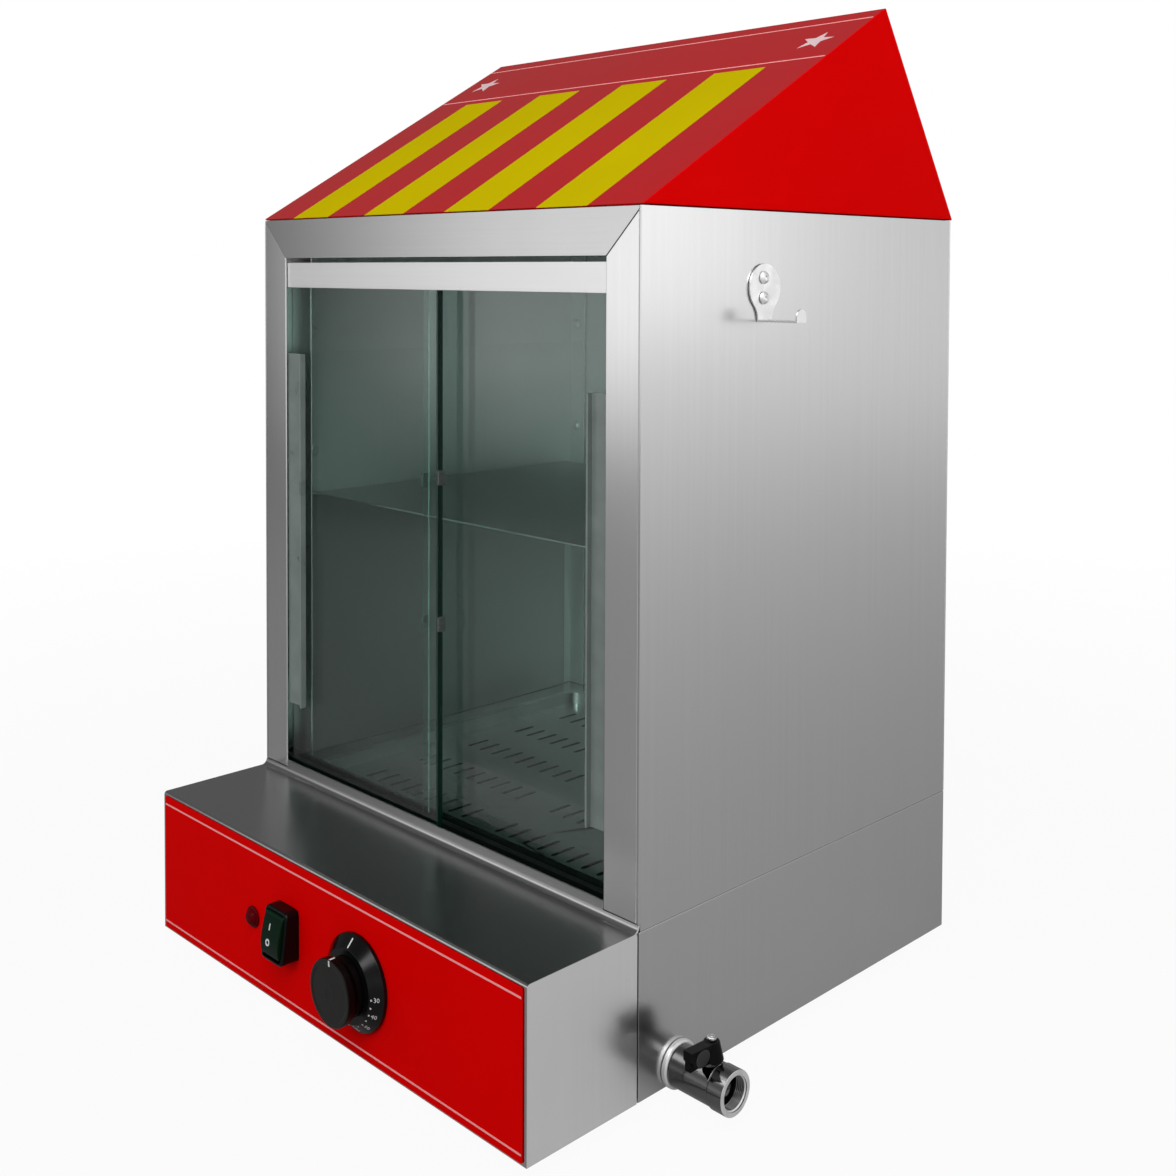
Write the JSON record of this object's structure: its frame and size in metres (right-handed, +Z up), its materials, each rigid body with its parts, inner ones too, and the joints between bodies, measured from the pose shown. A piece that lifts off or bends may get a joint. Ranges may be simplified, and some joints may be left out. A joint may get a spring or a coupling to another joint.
{
  "type": "hot dog steamer",
  "caption": "Countertop steamer cabinet with sliding glass doors, a shelf, a slotted tray over a water tank, a front control box, a drain valve and a sloping canopy.",
  "frame": {"origin": "centre of the underside of the bounding box, at the level that the feet stand on", "axes": "+Z up, +X to the right as seen from in front of the controls, +Y to the back, so the controls and doors face -Y"},
  "size_m": [0.4018, 0.416, 0.609],
  "materials": {
    "brushed_sheet": "brushed stainless sheet",
    "polished_sheet": "bright polished stainless",
    "plated_sheet": "dull zinc plated steel",
    "red_fascia": "satin printed film with pale pinstripes",
    "red_roof": "glossy red coat with yellow stripes and white lines",
    "door_glass": "clear toughened glass, slightly green",
    "handle_strip": "satin strip",
    "clear_bumper": "clear soft plastic",
    "black_plastic": "satin black",
    "foot_rubber": "matte black",
    "green_rocker": "glossy dark green",
    "red_lens": "glossy dark red lens",
    "chrome_fitting": "bright chrome plate",
    "white_plastic": "plain white",
    "copper": "bright copper"
  },
  "bodies": {
    "casing": {"base_shell": "brushed_sheet", "control_box_shell": "brushed_sheet", "bottom_plate": "plated_sheet", "front_left_foot": "foot_rubber", "front_right_foot": "foot_rubber", "rear_left_foot": "foot_rubber", "rear_right_foot": "foot_rubber", "left_side_panel": "brushed_sheet", "right_side_panel": "brushed_sheet", "rear_panel": "brushed_sheet", "cabinet_top_panel": "brushed_sheet", "left_lining": "polished_sheet", "right_lining": "polished_sheet", "left_frame_post": "brushed_sheet", "right_frame_post": "brushed_sheet", "top_frame_rail": "brushed_sheet", "lower_door_track": "black_plastic", "door_header": "brushed_sheet", "water_tank": "plated_sheet", "heating_element": "polished_sheet", "float_switch": "white_plastic", "thermostat_bulb": "copper", "drain_pipe": "polished_sheet", "valve_flange_nut": "chrome_fitting", "valve_body": "chrome_fitting", "tongs_hook": "chrome_fitting", "upper_hook_screw": "chrome_fitting", "lower_hook_screw": "chrome_fitting", "roof_shell": "red_roof", "roof_rear_panel": "red_roof", "control_fascia": "red_fascia", "indicator_lamp": "red_lens", "switch_body": "black_plastic", "dial_bezel": "black_plastic", "thermostat": "plated_sheet", "terminal_block": "white_plastic", "cable_gland": "black_plastic"},
    "left_door": {"left_door_glass": "door_glass", "left_door_handle": "handle_strip", "left_door_upper_bumper": "clear_bumper", "left_door_lower_bumper": "clear_bumper"},
    "right_door": {"right_door_glass": "door_glass", "right_door_handle": "handle_strip", "right_door_upper_bumper": "clear_bumper", "right_door_lower_bumper": "clear_bumper"},
    "lift_out_shelf": {"shelf": "polished_sheet"},
    "lift_out_tray": {"steam_tray": "brushed_sheet"},
    "thermostat_control": {"thermostat_knob": "black_plastic", "thermostat_spindle": "plated_sheet"},
    "power_rocker": {"switch_rocker": "green_rocker"},
    "valve_handle": {"valve_ball": "chrome_fitting", "valve_stem": "chrome_fitting", "valve_lever": "black_plastic", "valve_lever_screw": "chrome_fitting"}
  },
  "joints": [
    {"name": "left_door_slide", "type": "slide", "parent": "casing", "child": "left_door", "axis": [1, 0, 0], "range_m": [0, 0.167]},
    {"name": "right_door_slide", "type": "slide", "parent": "casing", "child": "right_door", "axis": [-1, 0, 0], "range_m": [-0.012, 0.155]},
    {"name": "shelf_lift", "type": "slide", "parent": "casing", "child": "lift_out_shelf", "axis": [0, 0, 1], "range_m": [0, 0.02]},
    {"name": "tray_lift", "type": "slide", "parent": "casing", "child": "lift_out_tray", "axis": [0, 0, 1], "range_m": [0, 0.04]},
    {"name": "thermostat_turn", "type": "hinge", "parent": "casing", "child": "thermostat_control", "pos_m": [0.0213, -0.188, 0.051], "axis": [0, 1, 0], "range_deg": [0, 290]},
    {"name": "rocker_tilt", "type": "hinge", "parent": "casing", "child": "power_rocker", "pos_m": [-0.0496, -0.1923, 0.056], "axis": [1, 0, 0], "range_deg": [0, 16]},
    {"name": "valve_turn", "type": "hinge", "parent": "casing", "child": "valve_handle", "pos_m": [0.1844, -0.078, 0.018], "axis": [0, 0, 1], "range_deg": [0, 90]}
  ]
}
